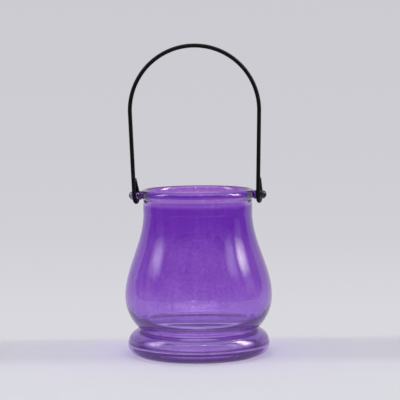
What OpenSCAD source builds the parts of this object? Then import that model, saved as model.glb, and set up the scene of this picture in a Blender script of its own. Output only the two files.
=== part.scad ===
// Footed glass candle lantern with a hinged wire handle.
// Millimetres, +Z up. The origin is the centre of the base, on the surface that the lantern
// stands on. The two lugs lie on the X axis, and the handle stands upright over the mouth.

/* [Jar heights] */
// Height of the jar, from the table to the top of the rim
jar_h = 88.4; // [86:0.1:100]
// Height of the widest place of the foot
foot_z = 5.6; // [5:0.1:6.5]
// Height of the waist, the groove between foot and bulb
waist_z = 13.8; // [12.8:0.1:14.8]
// Height of the widest place of the bulb
belly_z = 31.3; // [29:0.1:36]
// Height of the straight neck, from the end of the shoulder to the top of the rim
neck_h = 11.4; // [8:0.1:18]
// How the shoulder draws in: 1 is an even S, and less draws in sooner above the bulb
shoulder_draw = 0.93; // [0.85:0.01:1]
// Height of the widest place of the hollow in the foot
hollow_z = 7.4; // [6.8:0.1:8]
// Height of the candle floor above the table
floor_z = 4.2; // [3.4:0.1:5]

/* [Jar radii] */
// Outer radius of the foot at its widest
foot_r = 37.6; // [36.5:0.1:38.5]
// How far the ring that touches the table lies inside the foot's widest place
base_inset = 5.6; // [4:0.1:7]
// Outer radius at the waist
waist_r = 31; // [30:0.1:34]
// Outer radius of the bulb at its widest
belly_r = 39.3; // [37.8:0.1:41]
// Outer radius of the neck
neck_r = 28.8; // [28:0.1:29.2]
// Thickness of the glass wall in the neck and the bulb
wall = 2.2; // [1.6:0.1:3]
// Thickness of the glass wall in the foot
foot_wall = 2.6; // [2:0.1:3.2]
// Thickness of the glass at the waist, where a ridge stands inside
waist_wall = 3; // [2.6:0.1:3.6]
// Height of that ridge above the waist outside
ridge_up = 1; // [0.4:0.1:1.8]
// Radius of the ridge's rounding
ridge_round = 3.2; // [2.6:0.1:4]
// Radius of the flat candle floor
floor_r = 26; // [22:0.5:26]

/* [Rim and base] */
// How far the rim bead stands out of the neck
rim_lip = 1.8; // [1.5:0.1:2.6]
// Half the thickness of the rim bead, measured from the jar's axis outwards
bead_r = 2.1; // [1.9:0.1:2.3]
// Half the height of the rim bead
bead_h = 2.7; // [2.3:0.1:3]
// Radius of the hollow under the base
punt_r = 24; // [18:0.5:28]
// Depth of the hollow under the base, at its centre
punt_depth = 1.6; // [0.8:0.2:2.2]

/* [Lugs] */
// Height from the lugs' axis to the top of the rim
lug_drop = 3.3; // [2.9:0.1:3.8]
// Radius of a lug's neck, which carries the handle
lug_neck_r = 1.5; // [1.2:0.1:1.8]
// Radius of a lug's ball end
lug_ball_r = 2.3; // [2.1:0.1:2.6]

/* [Handle] */
// Diameter of the handle wire
wire_d = 2; // [1.6:0.1:2.4]
// Radius of the handle's arch, to the middle of the wire
arch_r = 34.1; // [33.2:0.1:37]
// Height of the arch's centre above the lugs' axis
arch_rise = 45; // [40:0.5:60]
// Sideways offset of the arch's centre from the jar's axis
arch_shift = -1.3; // [-2:0.1:0]
// Angle that each eye is twisted about its upright leg
eye_twist = 14; // [8:1:18]
// Height above the lugs' axis at which each eye closes against its leg
eye_h = 9; // [8:0.5:12]
// Radial play of an eye over the lug's ball
eye_play = 0.2; // [0.2:0.05:0.4]
// Side clearance between an eye and the rim bead
side_play = 0.35; // [0.3:0.05:0.6]
// Clearance between the wire's cut end and the leg beside it
tip_gap = 0.1; // [0.1:0.05:0.3]

/* [Hidden] */
$fn = 64;

glass_tint = [0.46, 0.3, 0.66, 0.6];
wire_black = [0.07, 0.07, 0.08];
bend_steps = 12;      // points along a tight bend of the jar's outline
curve_steps = 18;     // points along a long curve of the jar's outline

neck_z = jar_h - neck_h;
base_r = foot_r - base_inset;
rim_r = neck_r + rim_lip;
wire_r = wire_d / 2;
join_r = wire_r + 0.02;                               // a ball that hides a join in the wire
lug_z = jar_h - lug_drop;
eye_r = lug_ball_r + eye_play + wire_r;               // an eye's radius, to the middle of the wire
eye_reach = eye_r * sin(eye_twist);                   // how far the twist carries a leg sideways
eye_x = rim_r + side_play + wire_r + eye_reach;       // an eye's centre, from the jar's axis
ball_x = eye_x + 1.5 * wire_r;                        // a lug's ball centre, from the jar's axis
lug_root = neck_r - wall / 2;                         // where a lug's neck starts, inside the wall

// ---- outline of the jar ----

// Points of an arc about centre c, from angle a0 to a1. The first point is left out where the
// outline already holds it, as the end of the stretch before.
function arc(c, r, a0, a1, first = 1) =
    [for (i = [first:bend_steps]) let (a = a0 + (a1 - a0) * i / bend_steps) c + r * [cos(a), sin(a)]];

// centre radius of the arc that is upright at radius wide and passes through radius r, dz away
function bulge_centre(wide, r, dz) = (wide * wide - r * r - dz * dz) / (2 * (wide - r));

// radius of the S-shaped shoulder at height z, between the belly and the neck
function shoulder(wide, narrow, z) =
    (wide + narrow) / 2
        + (wide - narrow) / 2 * cos(180 * pow((z - belly_z) / (neck_z - belly_z), shoulder_draw));

// points of the shoulder above the belly, up to the neck
function shoulder_curve(wide, narrow) =
    [for (i = [1:curve_steps]) let (z = belly_z + (neck_z - belly_z) * i / curve_steps)
        [shoulder(wide, narrow, z), z]];

// the list in the other order
function reversed(list) = [for (i = [len(list) - 1:-1:0]) list[i]];

foot_low = bulge_centre(foot_r, base_r, foot_z);
foot_high = bulge_centre(foot_r, waist_r, waist_z - foot_z);
belly = bulge_centre(belly_r, waist_r, belly_z - waist_z);
bead_c = rim_r - bead_r;
inner_neck = neck_r - wall;
inner_belly = belly_r - wall;
inner_foot = foot_r - foot_wall;

// The ridge's circle, and the centres of the arcs of bulb and foot that touch it. Each arc is
// upright at its widest place.
ridge_z = waist_z + ridge_up;
ridge_c = waist_r - waist_wall + ridge_round;
bulb_c = bulge_centre(inner_belly + ridge_round, ridge_c, belly_z - ridge_z);
hollow_c = bulge_centre(inner_foot + ridge_round, ridge_c, ridge_z - hollow_z);
bulb_a = atan2(belly_z - ridge_z, ridge_c - bulb_c);
hollow_a = atan2(ridge_z - hollow_z, ridge_c - hollow_c);

function punt_outline() =
    let (r = (pow(punt_r, 2) + pow(punt_depth, 2)) / (2 * punt_depth))
        arc([0, punt_depth - r], r, 90, 90 - asin(punt_r / r), 0);

function foot_outline() = concat(
    arc([foot_low, foot_z], foot_r - foot_low, -atan2(foot_z, base_r - foot_low), 0, 0),
    arc([foot_high, foot_z], foot_r - foot_high, 0, atan2(waist_z - foot_z, waist_r - foot_high)));

function belly_outline() =
    arc([belly, belly_z], belly_r - belly, -atan2(belly_z - waist_z, waist_r - belly), 0);

// the bead outside, an ellipse a little taller than thick, and a quarter of another from its top
// to the inside of the neck
function rim_outline() =
    let (bead_z = jar_h - bead_h, lip = bead_c - inner_neck, low = -acos((neck_r - bead_c) / bead_r))
        concat(
            [for (i = [0:bend_steps]) let (a = low + (90 - low) * i / bend_steps)
                [bead_c + bead_r * cos(a), bead_z + bead_h * sin(a)]],
            [for (i = [1:bend_steps]) let (a = 90 * i / bend_steps)
                [bead_c - lip * sin(a), bead_z + bead_h * cos(a)]]);

// from the neck down the bulb, round the ridge, through the hollow of the foot, and by a quarter
// of an ellipse on to the floor
function inside_outline() = concat(
    reversed(shoulder_curve(inner_belly, inner_neck)),
    arc([bulb_c, belly_z], inner_belly - bulb_c, 0, -bulb_a, 0),
    arc([ridge_c, ridge_z], ridge_round, 180 - bulb_a, 180 + hollow_a),
    arc([hollow_c, hollow_z], inner_foot - hollow_c, hollow_a, 0),
    [for (i = [1:bend_steps]) let (a = 90 * i / bend_steps)
        [floor_r + (inner_foot - floor_r) * cos(a), hollow_z - (hollow_z - floor_z) * sin(a)]],
    [[0, floor_z]]);

function jar_outline() = concat(punt_outline(), foot_outline(), belly_outline(),
    shoulder_curve(belly_r, neck_r), rim_outline(), inside_outline());

// ---- pieces ----

// one lug: a short neck out of the rim bead, with a ball on its end
module lug() {
    translate([lug_root, 0, lug_z])
        rotate([0, 90, 0])
            cylinder(r = lug_neck_r, h = ball_x - lug_root);
    translate([ball_x, 0, lug_z])
        sphere(r = lug_ball_r);
}

// jar, foot, rim and lugs are one moulded piece of glass
module glass_jar() {
    color(glass_tint)
        union() {
            rotate_extrude($fn = 128)
                polygon(jar_outline());
            lug();
            mirror([1, 0, 0])
                lug();
        }
}

// One leg with its eye, about the lug's axis: the leg comes down in front of the lug, turns
// under it and comes up behind to close against itself. side is -1 on the left, 1 on the right.
function centre_dx(side) = eye_x + side * -arch_shift;
function leg_offset(side) = arch_r + side * eye_reach;
function centre_distance(side) = sqrt(pow(centre_dx(side), 2) + pow(arch_rise, 2));
function leg_length(side) = sqrt(pow(centre_distance(side), 2) - pow(leg_offset(side), 2));
function leg_lean(side) = asin(leg_offset(side) / centre_distance(side)) - atan(centre_dx(side) / arch_rise);

// The return strand leaves the eye at the angle that brings its end to the leg at eye_h.
tip_u = -eye_r + wire_d + tip_gap;
tip_d = sqrt(tip_u * tip_u + eye_h * eye_h);
return_length = sqrt(tip_d * tip_d - eye_r * eye_r);
return_angle = 90 + atan(-tip_u / eye_h) - acos(eye_r / tip_d);

// a straight length of wire, with a barely swollen ball at each end that joins it to the next
module wire(length) {
    cylinder(r = wire_r, h = length);
    for (z = [0, length])
        translate([0, 0, z])
            sphere(r = join_r);
}

module bend(radius, start, angle) {
    rotate_extrude(angle = angle, start = start, $fn = 96)
        translate([radius, 0])
            circle(r = wire_r);
}

module leg(side) {
    translate([side * eye_x, 0, lug_z])
        rotate([0, side * leg_lean(side), 0])
            rotate([90, 0, 90 - eye_twist]) {
                translate([-eye_r, 0, 0])
                    rotate([-90, 0, 0])
                        wire(leg_length(side));
                bend(eye_r, 180, 180 + return_angle);
                translate(eye_r * [cos(return_angle), sin(return_angle), 0])
                    rotate([-90, 0, return_angle])
                        wire(return_length);
            }
}

// the whole handle is one bent wire
module wire_handle() {
    color(wire_black)
        union() {
            translate([arch_shift, -eye_r * cos(eye_twist), lug_z + arch_rise])
                rotate([90, 0, 0])
                    bend(arch_r, -leg_lean(1), 180 + leg_lean(1) + leg_lean(-1));
            leg(-1);
            leg(1);
        }
}

glass_jar();
wire_handle();
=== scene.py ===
# %% [markdown]
# A small candle lantern: a footed jar of clear glass, sprayed outside with see-through purple
# lacquer, and a handle bent from one black wire, whose eyes hang on two glass balls at the rim.
#
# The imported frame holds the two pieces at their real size. This lesson dresses them: it draws
# each again as a fine surface, gives both their finish, and lights them as in a studio.

# %% Load the frame
import math

import bpy
import numpy as np
from mathutils import Matrix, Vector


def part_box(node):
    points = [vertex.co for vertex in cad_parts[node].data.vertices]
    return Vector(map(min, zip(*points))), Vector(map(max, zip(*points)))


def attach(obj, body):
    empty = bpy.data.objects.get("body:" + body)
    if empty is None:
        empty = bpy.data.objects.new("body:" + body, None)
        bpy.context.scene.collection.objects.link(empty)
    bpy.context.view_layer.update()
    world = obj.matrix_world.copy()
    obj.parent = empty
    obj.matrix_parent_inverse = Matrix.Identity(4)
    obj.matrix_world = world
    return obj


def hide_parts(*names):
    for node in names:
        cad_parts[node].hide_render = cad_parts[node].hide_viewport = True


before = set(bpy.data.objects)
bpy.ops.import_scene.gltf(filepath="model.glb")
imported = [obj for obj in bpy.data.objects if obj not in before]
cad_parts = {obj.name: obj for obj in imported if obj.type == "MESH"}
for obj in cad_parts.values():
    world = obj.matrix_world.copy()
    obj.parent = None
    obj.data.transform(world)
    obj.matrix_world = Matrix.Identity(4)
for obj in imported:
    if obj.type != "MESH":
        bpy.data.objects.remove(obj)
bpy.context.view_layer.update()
jar_low, jar_high = [np.array(corner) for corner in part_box("glass_jar")]
wire_low, wire_high = [np.array(corner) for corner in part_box("wire_handle")]
MM = 0.001
print("jar", (jar_high - jar_low) / MM, "mm; handle", (wire_high - wire_low) / MM, "mm")

# %% [markdown]
# The sizes come first, in metres, each written once. They are the solids' own sizes, with a few
# of them moved by up to half a millimetre, and the enamel added to the wire. They could be read
# from the frame's boxes, but only the whole pieces have boxes, and an arc needs its own radius.

# %% Sizes of the jar and the handle
JAR_H = 88.2 * MM
BELLY_R, BELLY_Z = 39.2 * MM, 31.4 * MM
FOOT_R, FOOT_Z = 37.8 * MM, 6 * MM
BASE_R = FOOT_R - 5.8 * MM
WAIST_R, WAIST_Z = 31 * MM, 13.9 * MM
NECK_R = 29 * MM
NECK_Z = JAR_H - 12 * MM
SHOULDER_DRAW = 0.98
WALL, FOOT_WALL = 2.2 * MM, 2.6 * MM
RIDGE_R, RIDGE_Z, RIDGE_ROUND = 28 * MM, 14.9 * MM, 3.2 * MM
INNER_FOOT_Z, FLOOR_Z, FLOOR_R = 7.4 * MM, 4.2 * MM, 26 * MM
PUNT_R, PUNT_DEPTH = 24 * MM, 1.6 * MM
BEAD_R, BEAD_H = 2.1 * MM, 2.5 * MM
RING_HEIGHTS, RING_RISE, RING_WIDTH = (76.4 * MM, 77.6 * MM, 78.8 * MM), 0.14 * MM, 0.25 * MM
RIM_R = NECK_R + 1.6 * MM
LUG_Z = 85.1 * MM
LUG_NECK_R, LUG_BALL_R = 1.5 * MM, 2.3 * MM
WIRE_R, ENAMEL = 1 * MM, 0.09 * MM
EYE_R = LUG_BALL_R + 0.2 * MM + WIRE_R
EYE_TWIST = math.radians(14)
EYE_H, TIP_GAP = 9 * MM, 0.1 * MM
EYE_X = RIM_R + 0.35 * MM + WIRE_R + EYE_R * math.sin(EYE_TWIST)
BALL_X = EYE_X + 1.5 * WIRE_R
ARCH_R, ARCH_RISE, ARCH_SHIFT = 34.1 * MM, 45 * MM, -1.3 * MM
print("jar height", JAR_H, "belly radius", BELLY_R, "eye centre", EYE_X)

# %% [markdown]
# Both pieces are drawn from plain curves. An outline could be typed as a table of points, but a
# few arcs say more with less, and stay smooth at any fineness. These helpers make the arcs and
# lay their points at even steps.

# %% Curves
def arc(centre, radius, start, end, count=200):
    """centre + radius (cos a, sin a), with the angle a running evenly from start to end"""
    a = np.linspace(start, end, count)
    return np.stack([centre[0] + radius * np.cos(a), centre[1] + radius * np.sin(a)], axis=1)


def bulge_centre(wide, r, rise):
    """centre radius c of the arc that is upright at radius wide and reaches r after rise:
    (wide - c) squared = (r - c) squared + rise squared"""
    return (wide**2 - r**2 - rise**2) / (2 * (wide - r))


def steps_along(points):
    """length of the curve up to each point: the running sum of the straight steps"""
    return np.concatenate([[0], np.cumsum(np.linalg.norm(np.diff(points, axis=0), axis=1))])


def at_lengths(points, lengths):
    """the curve's points at the given lengths, each coordinate read off in straight steps"""
    along = steps_along(points)
    return np.stack([np.interp(lengths, along, column) for column in points.T], axis=1)


def rounded(points, reach, step):
    """The curve at even steps, each point replaced by the bell-weighted mean of its neighbours,
    weight exp(-(d / reach) squared). The ends keep their places, mirrored through themselves."""
    length = steps_along(points)[-1]
    even = at_lengths(points, np.linspace(0, length, int(length / step)))
    half = int(3 * reach / step)
    weight = np.exp(-((np.arange(-half, half + 1) * step / reach) ** 2))
    weight /= weight.sum()
    before = 2 * even[0] - even[half:0:-1]
    after = 2 * even[-1] - even[-2:-half - 2:-1]
    padded = np.concatenate([before, even, after])
    return np.stack([np.convolve(column, weight, mode="valid") for column in padded.T], axis=1)


def spread_points(points, count, turn_weight):
    """count points along the curve, closer where it bends: each step is weighed by its length
    and by turn_weight times the angle that the curve turns there"""
    ahead = np.diff(points, axis=0)
    heading = np.unwrap(np.arctan2(ahead[:, 1], ahead[:, 0]))
    turn = np.abs(np.gradient(heading))
    weight = np.linalg.norm(ahead, axis=1) + turn_weight * turn
    gauge = np.concatenate([[0], np.cumsum(weight)])
    wanted = np.linspace(0, gauge[-1], count)
    return np.stack([np.interp(wanted, gauge, column) for column in points.T], axis=1)


# %% [markdown]
# ## The jar's outline
#
# A jar like this is blown into a mould and its rim is melted round. So its outline is a chain of
# bulges: foot, bulb, a long S-shaped shoulder, a short neck and a tall round bead. The wall
# follows inside and the foot is hollow too, but where the mould pinched the waist the glass ran
# into a thick round ridge. Molten glass leaves no sharp corner, so the finished outline is
# rounded a little all along. Three faint rings on the neck are the mould's marks.

# %% The outline
def shoulder(wide, narrow, count=300):
    """From the belly up to the neck, the radius falls as half a cosine wave of the height,
    cos(pi t^SHOULDER_DRAW), so that it falls a little sooner below than above"""
    z = np.linspace(BELLY_Z, NECK_Z, count)
    wave = np.cos(np.pi * ((z - BELLY_Z) / (NECK_Z - BELLY_Z)) ** SHOULDER_DRAW)
    return np.stack([(wide + narrow) / 2 + (wide - narrow) / 2 * wave, z], axis=1)


belly_c = bulge_centre(BELLY_R, WAIST_R, BELLY_Z - WAIST_Z)
bead_c = RIM_R - BEAD_R
bead_z = JAR_H - BEAD_H
inner_neck = NECK_R - WALL


def ellipse(centre, half_sizes, start, end, count=200):
    """centre + (half width cos a, half height sin a), with a running evenly from start to end"""
    a = np.linspace(start, end, count)
    return np.stack([centre[0] + half_sizes[0] * np.cos(a),
                     centre[1] + half_sizes[1] * np.sin(a)], axis=1)


def neck(top, count=200):
    """straight up at NECK_R, plus a bell of RING_RISE exp(-(dz / RING_WIDTH)^2) at each ring"""
    z = np.linspace(NECK_Z, top, count)
    rings = sum(np.exp(-(((z - height) / RING_WIDTH) ** 2)) for height in RING_HEIGHTS)
    return np.stack([NECK_R + RING_RISE * rings, z], axis=1)


def underside():
    """a shallow dome, the cap of a big sphere, and then the flat ring that touches the table"""
    cap = (PUNT_R**2 + PUNT_DEPTH**2) / (2 * PUNT_DEPTH)
    edge = math.pi / 2 - math.asin(PUNT_R / cap)
    return arc((0, PUNT_DEPTH - cap), cap, math.pi / 2, edge)


def outside():
    """three arcs, below and above the foot's widest place and below the belly's, a cosine
    shoulder, the neck, and the bead's ellipse from under its lip to its top"""
    low = bulge_centre(FOOT_R, BASE_R, FOOT_Z)
    high = bulge_centre(FOOT_R, WAIST_R, WAIST_Z - FOOT_Z)
    under_lip = -math.acos((NECK_R - bead_c) / BEAD_R)
    bead = ellipse((bead_c, bead_z), (BEAD_R, BEAD_H), under_lip, math.pi / 2)
    return np.concatenate([
        arc((low, FOOT_Z), FOOT_R - low, -math.atan2(FOOT_Z, BASE_R - low), 0),
        arc((high, FOOT_Z), FOOT_R - high, 0, math.atan2(WAIST_Z - FOOT_Z, WAIST_R - high)),
        arc((belly_c, BELLY_Z), BELLY_R - belly_c,
            -math.atan2(BELLY_Z - WAIST_Z, WAIST_R - belly_c), 0),
        shoulder(BELLY_R, NECK_R),
        neck(bead[0, 1])[1:-1],
        bead])


def inside():
    """A quarter of an ellipse over the lip, then the shoulder and the bulb a wall's thickness
    inside, a rounded ridge at the waist, the hollow of the foot, and a wide quarter ellipse down
    to the floor. Bulb and foot are arcs that are upright at their widest and touch the ridge."""
    inner_belly, inner_foot = BELLY_R - WALL, FOOT_R - FOOT_WALL
    ridge_c = RIDGE_R + RIDGE_ROUND
    bulb_c = bulge_centre(inner_belly + RIDGE_ROUND, ridge_c, BELLY_Z - RIDGE_Z)
    foot_c = bulge_centre(inner_foot + RIDGE_ROUND, ridge_c, RIDGE_Z - INNER_FOOT_Z)
    above = math.atan2(BELLY_Z - RIDGE_Z, ridge_c - bulb_c)
    below = math.atan2(RIDGE_Z - INNER_FOOT_Z, ridge_c - foot_c)
    return np.concatenate([
        ellipse((bead_c, bead_z), (bead_c - inner_neck, BEAD_H), math.pi / 2, math.pi),
        shoulder(inner_belly, inner_neck)[::-1],
        arc((bulb_c, BELLY_Z), inner_belly - bulb_c, 0, -above),
        arc((ridge_c, RIDGE_Z), RIDGE_ROUND, math.pi - above, math.pi + below),
        arc((foot_c, INNER_FOOT_Z), inner_foot - foot_c, below, 0),
        ellipse((FLOOR_R, INNER_FOOT_Z), (inner_foot - FLOOR_R, INNER_FOOT_Z - FLOOR_Z),
                0, -math.pi / 2),
        [[0, FLOOR_Z]]])


OUTLINE_STEP = 0.04 * MM
CORNER = 0.35 * MM
drawn = np.concatenate([underside(), outside(), inside()])
outline = spread_points(rounded(drawn, CORNER, OUTLINE_STEP), count=300, turn_weight=3 * MM)
print("outline:", len(outline), "points,", round(steps_along(outline)[-1] / MM, 1), "mm long")

# %% [markdown]
# ## Turning the outline into glass
#
# Turned by the Spin tool the jar would be perfectly round, and looks like plastic. Real glass
# has cooled unevenly: its wall is never quite round, and never quite one thickness. A few slow
# waves of a tenth of a millimetre do this. They bend what shows through the wall, and the lamps
# reflected in it, which is what the eye takes for glass.

# %% Surfaces of revolution
def make_mesh(name, points, faces):
    """a smooth-shaded mesh from an array of points and a list of faces"""
    mesh = bpy.data.meshes.new(name)
    mesh.from_pydata(points.tolist(), [], faces)
    mesh.polygons.foreach_set("use_smooth", np.ones(len(mesh.polygons), dtype=bool))
    mesh.update()
    return mesh


def ring_faces(rings, segments, first):
    """quads between neighbouring rings of points: (i, j), (i, j + 1), (i + 1, j + 1), (i + 1, j)"""
    i, j = np.meshgrid(np.arange(rings - 1), np.arange(segments), indexing="ij")
    k = (j + 1) % segments
    corners = [i * segments + j, i * segments + k, (i + 1) * segments + k, (i + 1) * segments + j]
    return (first + np.stack(corners, axis=-1)).reshape(-1, 4)


def closed_tube(rings):
    """Points and faces of a closed surface through rings of points, an array (ring, point, 3).
    The first and last ring are each drawn together into one point, their mean."""
    segments = rings.shape[1]
    inner = rings[1:-1]
    count = inner.shape[0] * segments
    points = np.concatenate([inner.reshape(-1, 3), [rings[0].mean(axis=0), rings[-1].mean(axis=0)]])
    j = np.arange(segments)
    k = (j + 1) % segments
    last = count - segments
    start_fan = np.stack([np.full(segments, count), k, j], axis=1)
    end_fan = np.stack([np.full(segments, count + 1), last + j, last + k], axis=1)
    faces = ring_faces(inner.shape[0], segments, 0).tolist() + start_fan.tolist() + end_fan.tolist()
    return points, faces


def turned(profile, segments, swell=None):
    """rings of points (r cos a, r sin a, z) for a profile of (r, z), with swell(a, z) added to r"""
    a = np.arange(segments) * 2 * np.pi / segments
    r, z = np.broadcast_arrays(profile[:, :1], profile[:, 1:])
    r = np.repeat(r, segments, axis=1)
    z = np.repeat(z, segments, axis=1)
    if swell is not None:
        r = r + swell(a[None, :], z) * np.clip(r / BASE_R, 0, 1)
    return np.stack([r * np.cos(a), r * np.sin(a), z], axis=2)


WAVE = 0.05 * MM


def uneven_glass(a, z):
    """slow waves round the jar and up it: a sum of cosines of 2, 3 and 5 turns, drifting with
    height"""
    up = z / JAR_H * 2 * np.pi
    waves = np.cos(2 * a + 0.6 * up + 0.4) + 0.7 * np.cos(3 * a - 0.9 * up + 2.1)
    waves = waves + 0.4 * np.cos(5 * a + 1.7 * up + 1.2)
    return WAVE * waves


JAR_SEGMENTS = 288
jar_points, jar_faces = closed_tube(turned(outline, JAR_SEGMENTS, uneven_glass))
jar = bpy.data.objects.new("jar_glass", make_mesh("jar_glass", jar_points, jar_faces))
bpy.context.collection.objects.link(jar)
print("jar:", len(jar_points), "points")

# %% [markdown]
# ## The lugs
#
# Each lug is a stub of glass pulled out of the bead, with a ball on its end. It is turned round
# its own axis and joined to the jar with a Boolean. Two glass meshes that only overlap would
# show a false inner surface, because light meets each skin in turn.

# %% The lugs
LUG_ROOT = NECK_R - WALL / 2
LUG_FLARE, LUG_FLARE_LENGTH = 0.9 * MM, 1.1 * MM
LUG_SOFTNESS = 0.25 * MM
LUG_SEGMENTS = 48


def lug_profile():
    """Along the lug's axis x, the stub's radius falls from its flared root as a bell curve, and
    the ball's is a half circle. The larger of the two wins, with a soft corner between."""
    tip = BALL_X + LUG_BALL_R
    turn = np.linspace(0, 1, 60)
    x = tip - (tip - LUG_ROOT) * (1 - np.sin(turn * np.pi / 2)) ** 1.5
    stub = LUG_NECK_R + LUG_FLARE * np.exp(-(((x - RIM_R) / LUG_FLARE_LENGTH) ** 2))
    stub = stub * (x < BALL_X)
    ball = np.sqrt(np.clip(LUG_BALL_R**2 - (x - BALL_X) ** 2, 0, None))
    radius = (stub + ball + np.sqrt((stub - ball) ** 2 + LUG_SOFTNESS**2)) / 2
    radius = np.where(x < BALL_X, radius, ball)
    radius[0] = 0
    return np.stack([radius, x], axis=1)


lug_rings = turned(lug_profile(), LUG_SEGMENTS)
right_points, lug_faces = closed_tube(lug_rings[:, :, [2, 0, 1]] + [0, 0, LUG_Z])
left_points = right_points * [-1, -1, 1]
both_points = np.concatenate([right_points, left_points])
both_faces = lug_faces + [[len(right_points) + i for i in face] for face in lug_faces]
lugs = bpy.data.objects.new("lugs", make_mesh("lugs", both_points, both_faces))
bpy.context.collection.objects.link(lugs)
join = jar.modifiers.new("lugs", "BOOLEAN")
join.operation = "UNION"
join.solver = "MANIFOLD"
join.object = lugs
graph = bpy.context.evaluated_depsgraph_get()
joined = bpy.data.meshes.new_from_object(jar.evaluated_get(graph))
jar.modifiers.clear()
jar.data = joined
joined.polygons.foreach_set("use_smooth", np.ones(len(joined.polygons), dtype=bool))
bpy.data.objects.remove(lugs)
print("jar with lugs:", len(joined.vertices), "points,", len(joined.polygons), "faces")

# %% [markdown]
# ## Where the lacquer lies
#
# Lacquer is sprayed from outside, after the glass has cooled. It covers the outside, thickest
# at the neck and thinnest low on the bulb, and thins out over the lip and the lugs. In the groove
# under the bead it is cut by two thirds, partly because the spray misses most of the groove and
# partly as a painted highlight of the lamps mirrored there. The inside, the underside and the
# lowest edge stay clear, and a line of extra coat just above that edge is painted shade. A
# painted map could hold this, but it follows the shape so closely that a number at every point
# is simpler: an attribute, from 0 for bare glass to 1 for the thickest coat. A second attribute
# holds painted shade: how much the skin is darkened on the foot, at the lowest edge and by the lugs.

# %% The lacquer's thickness
def smooth_step(low, high, x):
    """0 before low, 1 beyond high, and t t (3 - 2 t) between them. It falls where low is the
    larger of the two."""
    t = np.clip((x - low) / (high - low), 0, 1)
    return t * t * (3 - 2 * t)


LOW_RISE, HIGH_RISE, FOOT_RISE = (20 * MM, 42 * MM), (52 * MM, 72 * MM), (14 * MM, 10 * MM)
BULB_COAT, LOW_GAIN, HIGH_GAIN, FOOT_GAIN = 0.52, 0.22, 0.26, 0.08
BARE_EDGE = (1.5 * MM, 2.2 * MM)
# painted shade: a thin line of extra coat just above the bare lowest edge darkens it
BASE_SHADE_Z, BASE_SHADE_WIDTH, BASE_SHADE_COAT = 2.5 * MM, 0.4 * MM, 0.3
# the groove's loss of coat is partly a thinner coat and partly a painted highlight
GROOVE_Z, GROOVE_WIDTH, GROOVE_THINNING_AND_SHEEN, LUG_LOSS = 81.5 * MM, 1.7 * MM, 0.65, 0.75


def lacquer_at(points):
    """The coat's thickness: on the outside it grows up the bulb in two rises, and a little
    towards the foot. It fades at the lowest edge, with a line of extra coat above it as painted
    shade, in the groove, partly as a painted highlight, and over the lip and the lugs."""
    x, y, z = points.T
    r = np.hypot(x, y)
    skin = outside()
    skin_r = np.interp(z, skin[:, 1], skin[:, 0])
    is_outside = smooth_step(-0.9 * MM, -0.5 * MM, r - skin_r)
    over_lip = smooth_step(inner_neck + 0.8 * MM, bead_c + 0.6 * MM, r)
    top = z > bead_z
    coat = np.where(top, over_lip, is_outside)
    upper = LOW_GAIN * smooth_step(*LOW_RISE, z) + HIGH_GAIN * smooth_step(*HIGH_RISE, z)
    height = BULB_COAT + upper + FOOT_GAIN * smooth_step(*FOOT_RISE, z)
    edge = smooth_step(*BARE_EDGE, z) + BASE_SHADE_COAT * np.exp(-(((z - BASE_SHADE_Z) / BASE_SHADE_WIDTH) ** 2))
    groove = np.exp(-(((z - GROOVE_Z) / GROOVE_WIDTH) ** 4))
    lug = smooth_step(RIM_R + 0.3 * MM, RIM_R + 2 * MM, np.abs(x)) * (z > NECK_Z)
    return coat * height * edge * (1 - GROOVE_THINNING_AND_SHEEN * groove) * (1 - LUG_LOSS * lug)


# painted shade on the foot, and at the lowest edge and on the bead by the lugs
FOOT_PAINTED_SHADE, LOW_AND_LUG_PAINTED_SHADE = 0.13, 0.6


def painted_shade_at(points):
    """the share of light that the skin lets through: 1, less where painted shade darkens it. The
    foot is darkened for the shadowed floor seen through it, its lowest edge for the contact shadow,
    and the bead by the lugs for the dark surroundings seen through it."""
    x, y, z = points.T
    r = np.hypot(x, y)
    foot = smooth_step(*FOOT_RISE, z) * smooth_step(27 * MM, 30 * MM, r)
    low_edge = smooth_step(2.4 * MM, 1.4 * MM, z) * smooth_step(29 * MM, 32 * MM, r)
    by_lug = smooth_step(RIM_R - 6 * MM, RIM_R - 1 * MM, np.abs(x)) * (z > bead_z - 3 * MM)
    return (1 - FOOT_PAINTED_SHADE * foot) * (1 - LOW_AND_LUG_PAINTED_SHADE * low_edge) * (1 - LOW_AND_LUG_PAINTED_SHADE * by_lug)


def vertex_points(mesh):
    """the mesh's vertices as an array (vertex, 3)"""
    flat = np.empty(len(mesh.vertices) * 3)
    mesh.vertices.foreach_get("co", flat)
    return flat.reshape(-1, 3)


def set_attribute(mesh, name, values):
    """one number at every point of the mesh, under a name that its material can ask for"""
    mesh.attributes.new(name, "FLOAT", "POINT").data.foreach_set("value", values.astype(np.float32))
    print(name, "from", values.min().round(2), "to", values.max().round(2))


set_attribute(joined, "lacquer", lacquer_at(vertex_points(joined)))
# the second attribute, named clear, holds painted shade
set_attribute(joined, "clear", painted_shade_at(vertex_points(joined)))

# %% [markdown]
# ## The glass material
#
# Glass gets its look from what it bends and mirrors, so a Principled shader with full
# transmission does most of the work. The lacquer is a colour filter on the outer skin alone: the
# thicker the coat, the deeper the purple, by a colour ramp over the thickness. Faint clouds,
# grains and upright runs in the coat come from three noises. For a lamp's shadow ray the glass
# is a plain pale filter, or its shadow would be black. Light that has been mirrored twice or more
# inside the wall would be followed for ever, so it ends in a painted glow: there the glass gives
# off a plain deep purple of its own.

# %% Node helpers
def new_material(name):
    """an empty node material and its tree"""
    material = bpy.data.materials.new(name)
    material.use_nodes = True
    material.node_tree.nodes.clear()
    return material, material.node_tree


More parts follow.
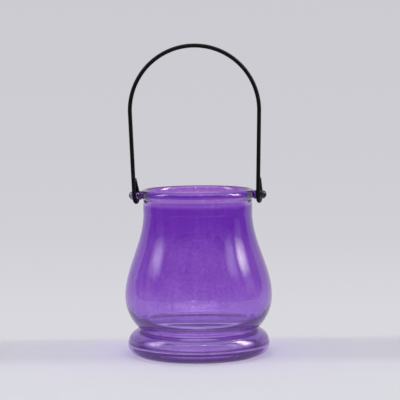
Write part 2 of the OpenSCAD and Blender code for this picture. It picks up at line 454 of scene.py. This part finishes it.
def add_node(tree, kind, inputs=None, **settings):
    """A node with its settings and its inputs, each input by its name or its number. An input
    may be another node's socket, which is linked, or a plain value."""
    node = tree.nodes.new(kind)
    for key, value in settings.items():
        setattr(node, key, value)
    for key, value in (inputs or {}).items():
        if isinstance(value, bpy.types.NodeSocket):
            tree.links.new(value, node.inputs[key])
        else:
            node.inputs[key].default_value = value
    return node


def add_math(tree, operation, *terms):
    """the result of one sum on numbers or sockets"""
    return add_node(tree, "ShaderNodeMath", dict(enumerate(terms)), operation=operation).outputs[0]


def add_ramp(tree, factor, stops):
    """a colour ramp with stops of (place, colour)"""
    node = add_node(tree, "ShaderNodeValToRGB", {"Fac": factor})
    ramp = node.color_ramp
    while len(ramp.elements) < len(stops):
        ramp.elements.new(0.5)
    for element, (place, colour) in zip(ramp.elements, stops):
        element.position = place
        element.color = (*colour, 1)
    return node.outputs["Color"]


def add_noise(tree, place, scale, detail=2.0):
    """a noise of the given scale, in cycles per metre"""
    inputs = {"Vector": place, "Scale": scale, "Detail": detail}
    return add_node(tree, "ShaderNodeTexNoise", inputs).outputs["Fac"]


def object_place(tree):
    """the point's place on the piece, in metres"""
    return add_node(tree, "ShaderNodeTexCoord").outputs["Object"]


# %% Lacquered glass
COATS = [(0.0, (0.93, 0.955, 0.94)), (0.10, (0.78, 0.66, 0.95)), (0.45, (0.50, 0.26, 0.92)),
         (0.72, (0.34, 0.10, 0.74)), (1.0, (0.22, 0.032, 0.62))]
CLOUDS, GRAINS, RUNS = (70, 3.0, 0.44), (900, 1.0, 0.60), (420, 2.0, 0.40)
RUN_STRETCH = (1.0, 1.0, 0.08)
RIPPLES, GRAIN_RELIEF = (90, 1.0), 0.04
RELIEF_STRENGTH, RELIEF_HEIGHT = 0.12, 0.6 * MM
# the second colour is a painted glow, for paths mirrored deep inside the wall
SHADOW_FILTER, DEEP_PAINTED_GLOW = (0.86, 0.83, 0.90, 1), (0.13, 0.07, 0.21, 1)


def mottled(tree, place, pattern):
    """1, give or take half the pattern's strength; a pattern is a noise's scale and detail, and
    the strength"""
    scale, detail, strength = pattern
    noise = add_noise(tree, place, scale, detail)
    return add_math(tree, "MULTIPLY_ADD", noise, strength, 1 - strength / 2)


def coat_colour(tree, place):
    """the ramp's colour for the coat's thickness, mottled three times, darkened by painted shade"""
    uneven = add_node(tree, "ShaderNodeAttribute", attribute_name="lacquer").outputs["Fac"]
    upright = add_node(tree, "ShaderNodeMapping", {"Vector": place, "Scale": RUN_STRETCH}).outputs[0]
    for where, pattern in [(place, CLOUDS), (place, GRAINS), (upright, RUNS)]:
        uneven = add_math(tree, "MULTIPLY", uneven, mottled(tree, where, pattern))
    coat = add_ramp(tree, uneven, COATS)
    # the clear attribute darkens the colour with painted shade
    clear = add_node(tree, "ShaderNodeAttribute", attribute_name="clear").outputs["Fac"]
    inputs = {0: coat, "Scale": clear}
    return add_node(tree, "ShaderNodeVectorMath", inputs, operation="SCALE").outputs[0]


def add_mix(tree, share, first, second):
    """the first shader where share is 0 and the second where it is 1"""
    inputs = {0: share, 1: first.outputs[0], 2: second.outputs[0]}
    return add_node(tree, "ShaderNodeMixShader", inputs)


def lacquered_glass():
    material, tree = new_material("lacquered_glass")
    place = object_place(tree)
    ripples, grains = add_noise(tree, place, *RIPPLES), add_noise(tree, place, *GRAINS[:2])
    relief = add_math(tree, "MULTIPLY_ADD", grains, GRAIN_RELIEF, ripples)
    bump = add_node(tree, "ShaderNodeBump", {
        "Height": relief, "Strength": RELIEF_STRENGTH, "Distance": RELIEF_HEIGHT})
    glass = add_node(tree, "ShaderNodeBsdfPrincipled", {
        "Base Color": coat_colour(tree, place), "Roughness": 0.035, "IOR": 1.5,
        "Transmission Weight": 1.0, "Normal": bump.outputs["Normal"]})
    shade = add_node(tree, "ShaderNodeBsdfTransparent", {"Color": SHADOW_FILTER})
    # painted glow: where a path has been mirrored twice inside the wall, the glass gives off plain
    # deep purple
    painted_glow = add_node(tree, "ShaderNodeEmission", {"Color": DEEP_PAINTED_GLOW})
    path = add_node(tree, "ShaderNodeLightPath").outputs
    mirrored = add_math(tree, "GREATER_THAN", path["Glossy Depth"], 1.5)
    mix = add_mix(tree, path["Is Shadow Ray"], add_mix(tree, mirrored, glass, painted_glow), shade)
    add_node(tree, "ShaderNodeOutputMaterial", {"Surface": mix.outputs[0]})
    return material


joined.materials.clear()
joined.materials.append(lacquered_glass())
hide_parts("glass_jar")
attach(jar, "jar")

# %% [markdown]
# ## The handle
#
# The handle is one length of wire: an eye, a leg, the arch, the other leg and the other eye. A
# curve object with a bevel would do, but here the path itself is the lesson: arcs and straight
# lines that meet without a kink. Each leg comes down in front of its lug, turns under it and
# comes up behind, slanting in until its cut end lies against the leg. The eye is twisted a few
# degrees about the leg, as pliers leave it.

# %% The handle's path
def leg_sizes(side):
    """Length and outward lean of a leg: the tangent from the eye to the arch. side is -1 for the
    left leg and 1 for the right."""
    across = EYE_X - side * ARCH_SHIFT
    offset = ARCH_R + side * EYE_R * math.sin(EYE_TWIST)
    distance = math.hypot(across, ARCH_RISE)
    lean = math.asin(offset / distance) - math.atan2(across, ARCH_RISE)
    return math.sqrt(distance**2 - offset**2), lean


def eye_and_leg(side):
    """from the cut end down round the lug and up the leg, as points (u, w) in the eye's plane,
    then placed: u runs along (sin twist, cos twist), w is up, and all leans outwards"""
    length, lean = leg_sizes(side)
    tip_u = -EYE_R + 2 * WIRE_R + TIP_GAP
    tip = math.hypot(tip_u, EYE_H)
    close = math.pi / 2 + math.atan2(-tip_u, EYE_H) - math.acos(EYE_R / tip)
    back = math.sqrt(tip**2 - EYE_R**2)
    t = np.linspace(back, 0, 40)
    slant = np.stack([EYE_R * math.cos(close) - t * math.sin(close),
                      EYE_R * math.sin(close) + t * math.cos(close)], axis=1)
    loop = arc((0, 0), EYE_R, 2 * math.pi + close, math.pi, 160)
    straight = np.stack([np.full(80, -EYE_R), np.linspace(0, length, 80)], axis=1)
    u, w = np.concatenate([slant, loop, straight]).T
    x = u * math.sin(EYE_TWIST)
    turn = side * lean
    return np.stack([side * EYE_X + x * math.cos(turn) + w * math.sin(turn),
                     u * math.cos(EYE_TWIST),
                     LUG_Z - x * math.sin(turn) + w * math.cos(turn)], axis=1)


def handle_path():
    """left eye and leg, the arch from left to right, and the right leg and eye backwards"""
    start = math.pi + leg_sizes(-1)[1]
    flat = arc((ARCH_SHIFT, LUG_Z + ARCH_RISE), ARCH_R, start, -leg_sizes(1)[1], 500)
    plane = np.full(len(flat), -EYE_R * math.cos(EYE_TWIST))
    arch = np.stack([flat[:, 0], plane, flat[:, 1]], axis=1)
    return np.concatenate([eye_and_leg(-1), arch, eye_and_leg(1)[::-1]])


BEND_ROUNDING = 0.5 * MM
path = rounded(handle_path(), BEND_ROUNDING, 0.1 * MM)
wire_length = steps_along(path)[-1]
print("wire:", round(wire_length / MM, 1), "mm of", 2 * WIRE_R / MM, "mm wire")

# %% [markdown]
# A round section is carried along the path on a frame that never twists. One fixed direction
# can't serve as the frame, because the eyes turn through every heading. So the frame is carried
# from ring to ring: each time, the last sideways direction has its part along the new heading
# taken out.

# %% The handle's surface
EYE_WIRE = 34 * MM


def along_spacing(points, fine, coarse):
    """lengths along the path: fine steps at both ends, over the eyes, and coarse ones between"""
    length = steps_along(points)[-1]
    ends = np.arange(0, EYE_WIRE, fine)
    middle = np.linspace(EYE_WIRE, length - EYE_WIRE, int((length - 2 * EYE_WIRE) / coarse))
    return np.concatenate([ends, middle, (length - ends)[::-1]])


def carried_frame(headings):
    """For each heading, a direction square to it: the one before, with its part along the new
    heading taken out and stretched back to length 1. One short loop, over rings and not points."""
    side = np.cross(headings[0], [0.0, 1.0, 0.0])
    sides = []
    for heading in headings:
        side = side - heading * side.dot(heading)
        side = side / np.linalg.norm(side)
        sides.append(side)
    return np.array(sides)


def swept(points, radii, segments):
    """rings of points: centre + radius (cos a side + sin a up), up being heading x side"""
    headings = np.gradient(points, axis=0)
    headings = headings / np.linalg.norm(headings, axis=1, keepdims=True)
    side = carried_frame(headings)
    up = np.cross(headings, side)
    a = np.arange(segments) * 2 * np.pi / segments
    ring = np.cos(a)[None, :, None] * side[:, None, :] + np.sin(a)[None, :, None] * up[:, None, :]
    return points[:, None, :] + radii[:, None, None] * ring


CUT_BEVEL, CUT_SHARE = 0.25 * MM, 0.72
WIRE_SEGMENTS = 28
lengths = along_spacing(path, 0.22 * MM, 0.8 * MM)
centres = at_lengths(path, lengths)
from_end = np.minimum(lengths, wire_length - lengths)
bevel = np.sqrt(np.clip(1 - (1 - np.clip(from_end / CUT_BEVEL, 0, 1)) ** 2, 0, 1))
radii = (WIRE_R + ENAMEL) * (CUT_SHARE + (1 - CUT_SHARE) * bevel)
rings = swept(centres, radii, WIRE_SEGMENTS)
rings = np.concatenate([rings[:1], rings, rings[-1:]])
wire_points, wire_faces = closed_tube(rings)
wire = bpy.data.objects.new("handle_wire", make_mesh("handle_wire", wire_points, wire_faces))
bpy.context.collection.objects.link(wire)
print("handle:", len(wire_points), "points")

# %% [markdown]
# The wire is black enamelled steel with a satin face. Its gloss is a little uneven, and the
# enamel is rubbed thin where the eyes turn on the glass balls. That place is an attribute again:
# how near each point lies to its lug's axis.

# %% Black enamel
def rub_at(points):
    """1 where the wire faces its lug's axis from close by, and 0 beyond a wire's thickness"""
    x, y, z = points.T
    axis_distance = np.hypot(y, z - LUG_Z)
    near = 1 - smooth_step(EYE_R - WIRE_R, EYE_R - 0.4 * WIRE_R, axis_distance)
    return near * (np.abs(x) > RIM_R)


ENAMELS = [(0.0, (0.005, 0.005, 0.006)), (0.45, (0.008, 0.008, 0.009)), (0.7, (0.06, 0.06, 0.063))]


def black_enamel():
    """nearly black, greyer where it is rubbed thin, in patches that also vary its gloss"""
    material, tree = new_material("black_enamel")
    rubbed = add_node(tree, "ShaderNodeAttribute", attribute_name="rub").outputs["Fac"]
    patches = add_noise(tree, object_place(tree), 300, 3.0)
    colour = add_ramp(tree, add_math(tree, "MULTIPLY", rubbed, patches), ENAMELS)
    gloss = add_math(tree, "MULTIPLY_ADD", patches, 0.10, 0.40)
    enamel = add_node(tree, "ShaderNodeBsdfPrincipled", {
        "Base Color": colour, "Roughness": gloss, "Specular IOR Level": 0.15})
    add_node(tree, "ShaderNodeOutputMaterial", {"Surface": enamel.outputs[0]})
    return material


set_attribute(wire.data, "rub", rub_at(vertex_points(wire.data)))
wire.data.materials.append(black_enamel())
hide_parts("wire_handle")
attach(wire, "handle")

# %% [markdown]
# ## The studio
#
# Clear glass has no look of its own without something to mirror. The studio is a sheet of pale
# paper that curves up behind the jar, a tall softbox on each side, and a big soft lamp and two
# small ones overhead. The softboxes draw the upright streaks on the bulb and the bright spots on
# the rim and foot. They are glowing panels and not lamps, so that only what mirrors them shows
# them: a lamp of that size would also wash out the paper.

# %% Paper sweep
SWEEP_START, SWEEP_R = 0.055, 0.12
PAPER_HALF, PAPER_TOP, PAPER_FRONT = 0.35, 1.3, -0.45


def paper_sheet():
    """a floor, a quarter circle and an upright wall as one profile in (y, z), drawn out along x"""
    curve = arc((SWEEP_START, SWEEP_R), SWEEP_R, -math.pi / 2, 0, 48)
    profile = np.concatenate([[[PAPER_FRONT, 0]], curve, [[SWEEP_START + SWEEP_R, PAPER_TOP]]])
    x = np.linspace(-PAPER_HALF, PAPER_HALF, 9)
    y, z = profile.T
    grid = np.stack(np.broadcast_arrays(x[None, :], y[:, None], z[:, None]), axis=2)
    i, j = np.meshgrid(np.arange(len(profile) - 1), np.arange(len(x) - 1), indexing="ij")
    corner = i * len(x) + j
    faces = np.stack([corner, corner + 1, corner + len(x) + 1, corner + len(x)], axis=-1)
    return make_mesh("paper", grid.reshape(-1, 3), faces.reshape(-1, 4).tolist())


# painted shade: the floor's tones dip in a band where it meets the sweep, and fade to dark towards
# the paper's front edge
PALE_FLOOR, SHADED_FLOOR = (0.84, 0.845, 0.885), (0.71, 0.715, 0.765)
FLOOR_TONES = [(-0.45, (0.30, 0.30, 0.32)), (-0.20, PALE_FLOOR), (-0.060, PALE_FLOOR),
               (-0.036, (0.82, 0.82, 0.87)), (-0.010, SHADED_FLOOR), (0.026, SHADED_FLOOR),
               (0.060, (0.79, 0.79, 0.82))]
# painted shade: the wall's tone grows darker upwards
WALL_TONES = [(0.0, (0.694, 0.687, 0.730)), (0.010, (0.690, 0.683, 0.726)),
              (0.047, (0.638, 0.631, 0.672)), (0.10, (0.617, 0.611, 0.655)),
              (0.25, (0.598, 0.592, 0.640))]


def add_share(tree, value, low, high, **settings):
    """how far the value has come from low to high, from 0 to 1"""
    inputs = {"Value": value, "From Min": low, "From Max": high}
    return add_node(tree, "ShaderNodeMapRange", inputs, **settings).outputs[0]


def add_split(tree):
    """the three coordinates of the point's place on the piece"""
    return add_node(tree, "ShaderNodeSeparateXYZ", {"Vector": object_place(tree)}).outputs


def tone_along(tree, distance, tones):
    """a colour ramp over a distance in metres, from the first tone's place to the last one's"""
    first, last = tones[0][0], tones[-1][0]
    stops = [((at - first) / (last - first), tone) for at, tone in tones]
    return add_ramp(tree, add_share(tree, distance, first, last), stops)


def paper_material():
    """Lit paper on the floor, its tones darkened with painted shade in a band by the sweep and
    towards its front edge. Up the wall, what the camera, mirrors and glass see is a plain tone, so
    that the background keeps its even light; it is graded darker upwards as painted shade. The
    paper's back is see-through."""
    material, tree = new_material("paper")
    _, back, height = add_split(tree)
    lit = add_node(tree, "ShaderNodeBsdfDiffuse", {"Color": tone_along(tree, back, FLOOR_TONES)})
    plain = add_node(tree, "ShaderNodeEmission", {"Color": tone_along(tree, height, WALL_TONES)})
    ray = add_node(tree, "ShaderNodeLightPath").outputs
    seen = add_math(tree, "MAXIMUM", ray["Is Camera Ray"], ray["Is Glossy Ray"])
    seen = add_math(tree, "MAXIMUM", seen, ray["Is Transmission Ray"])
    behind = add_share(tree, back, SWEEP_START - 0.015, SWEEP_START + 0.005,
                       interpolation_type="SMOOTHSTEP")
    front = add_mix(tree, add_math(tree, "MULTIPLY", seen, behind), lit, plain)
    see_through = add_node(tree, "ShaderNodeBsdfTransparent")
    is_back = add_node(tree, "ShaderNodeNewGeometry").outputs["Backfacing"]
    mix = add_mix(tree, is_back, front, see_through)
    add_node(tree, "ShaderNodeOutputMaterial", {"Surface": mix.outputs[0]})
    return material


paper = bpy.data.objects.new("paper", paper_sheet())
bpy.context.collection.objects.link(paper)
paper.data.materials.append(paper_material())

# %% Lamps
LAMP_AIM = np.array([0, 0, 0.05])


def soft_lamp(name, azimuth, elevation, distance, width, height, brightness):
    """An area lamp on a sphere round the jar, facing it. Azimuth 0 is towards the camera and
    grows to the right. brightness is what its face shows, 1 being white: the power is
    brightness times pi times the area."""
    az, el = math.radians(azimuth), math.radians(elevation)
    out = np.array([math.sin(az) * math.cos(el), -math.cos(az) * math.cos(el), math.sin(el)])
    lamp = bpy.data.lights.new(name, "AREA")
    lamp.shape = "RECTANGLE"
    lamp.size, lamp.size_y = width, height
    lamp.energy = brightness * math.pi * width * height
    holder = bpy.data.objects.new(name, lamp)
    bpy.context.collection.objects.link(holder)
    turn = Matrix.Rotation(az, 4, "Z") @ Matrix.Rotation(math.pi / 2 - el, 4, "X")
    holder.matrix_world = Matrix.Translation(LAMP_AIM + distance * out) @ turn


soft_lamp("top_light", 0, 84, distance=1.1, width=1.6, height=1.4, brightness=2.1)
soft_lamp("small_lamp_left", -23, 44, distance=1.1, width=0.05, height=0.05, brightness=30.0)
soft_lamp("small_lamp_right", 10, 53, distance=1.1, width=0.11, height=0.03, brightness=30.0)

# %% Softboxes
BOX_DISTANCE, BOX_LOW, BOX_HIGH = 0.75, 0.05, 0.98
HEIGHT_GLOW = [(0.05, 0.02), (0.24, 0.05), (0.31, 0.30), (0.40, 1.0), (0.98, 1.0)]


def softbox(name, azimuth, half_width, edge, brightness, tint):
    """An upright panel facing the jar, at an azimuth counted like the lamps'. It glows by the
    height, from dim at the floor to full above four tenths of a metre, and fades out over the
    edge's width at both sides."""
    corners = [(-half_width, 0, BOX_LOW), (half_width, 0, BOX_LOW),
               (half_width, 0, BOX_HIGH), (-half_width, 0, BOX_HIGH)]
    panel = bpy.data.objects.new(name, bpy.data.meshes.new(name))
    panel.data.from_pydata(corners, [], [(0, 3, 2, 1)])
    bpy.context.collection.objects.link(panel)
    turn = math.radians(azimuth)
    panel.location = (BOX_DISTANCE * math.sin(turn), -BOX_DISTANCE * math.cos(turn), 0)
    panel.rotation_euler = (0, 0, turn)
    material, tree = new_material(name)
    across, _, height = add_split(tree)
    fade = add_share(tree, add_math(tree, "ABSOLUTE", across), half_width, half_width - edge,
                     interpolation_type="SMOOTHSTEP")
    glow = tone_along(tree, height, [(at, (share, share, share)) for at, share in HEIGHT_GLOW])
    power = add_math(tree, "MULTIPLY", add_math(tree, "MULTIPLY", glow, fade), brightness)
    light = add_node(tree, "ShaderNodeEmission", {"Color": tint, "Strength": power})
    add_node(tree, "ShaderNodeOutputMaterial", {"Surface": light.outputs[0]})
    panel.data.materials.append(material)
    panel.visible_camera = False
    panel.visible_transmission = False
    panel.visible_diffuse = False


softbox("right_softbox", 89, 0.20, edge=0.15, brightness=17.0, tint=(1.0, 0.97, 0.82, 1))
softbox("right_reflector", 64, 0.20, edge=0.18, brightness=3.4, tint=(0.85, 0.80, 1.0, 1))
softbox("left_softbox", -84, 0.25, edge=0.22, brightness=7.0, tint=(1.0, 0.93, 1.0, 1))

# %% [markdown]
# Beyond the paper lies the room. It is as pale as the paper to the camera and through the glass,
# but lights and mirrors as a dim one, or it would wash out the streaks.

# %% The room
ROOM_SEEN, ROOM_LIGHT = (0.62, 0.615, 0.66, 1), (0.12, 0.12, 0.13, 1)
world = bpy.data.worlds.new("room")
world.use_nodes = True
room = world.node_tree
ray = add_node(room, "ShaderNodeLightPath").outputs
seen = add_math(room, "MAXIMUM", ray["Is Camera Ray"], ray["Is Transmission Ray"])
# a mix of colours takes them at its inputs 6 and 7, and gives the result at its output 2
tone = add_node(room, "ShaderNodeMix", {0: seen, 6: ROOM_LIGHT, 7: ROOM_SEEN}, data_type="RGBA")
room.links.new(tone.outputs[2], room.nodes["Background"].inputs["Color"])
bpy.context.scene.world = world

# %% [markdown]
# ## The camera
#
# A long lens from nine tenths of a metre away, a little above the rim, so that the mouth shows
# as a thin ellipse and the foot as a fuller one. It is rolled by half a degree.

# %% The camera
CAMERA_PLACE = (0.0012, -0.900, 0.15514)
PITCH, ROLL = math.radians(4.622), math.radians(-0.5)
SENSOR, FOCAL_PIXELS, IMAGE_PIXELS = 36, 1697.7, 400

lens = bpy.data.cameras.new("camera")
lens.sensor_width = SENSOR
lens.lens = FOCAL_PIXELS / IMAGE_PIXELS * SENSOR
lens.clip_start, lens.clip_end = 0.01, 20
camera = bpy.data.objects.new("camera", lens)
bpy.context.collection.objects.link(camera)
tilt = Matrix.Rotation(math.pi / 2 - PITCH, 4, "X") @ Matrix.Rotation(ROLL, 4, "Z")
camera.matrix_world = Matrix.Translation(CAMERA_PLACE) @ tilt
bpy.context.scene.camera = camera
bpy.context.scene.view_settings.view_transform = "Standard"
print("lens", round(lens.lens, 1), "mm")
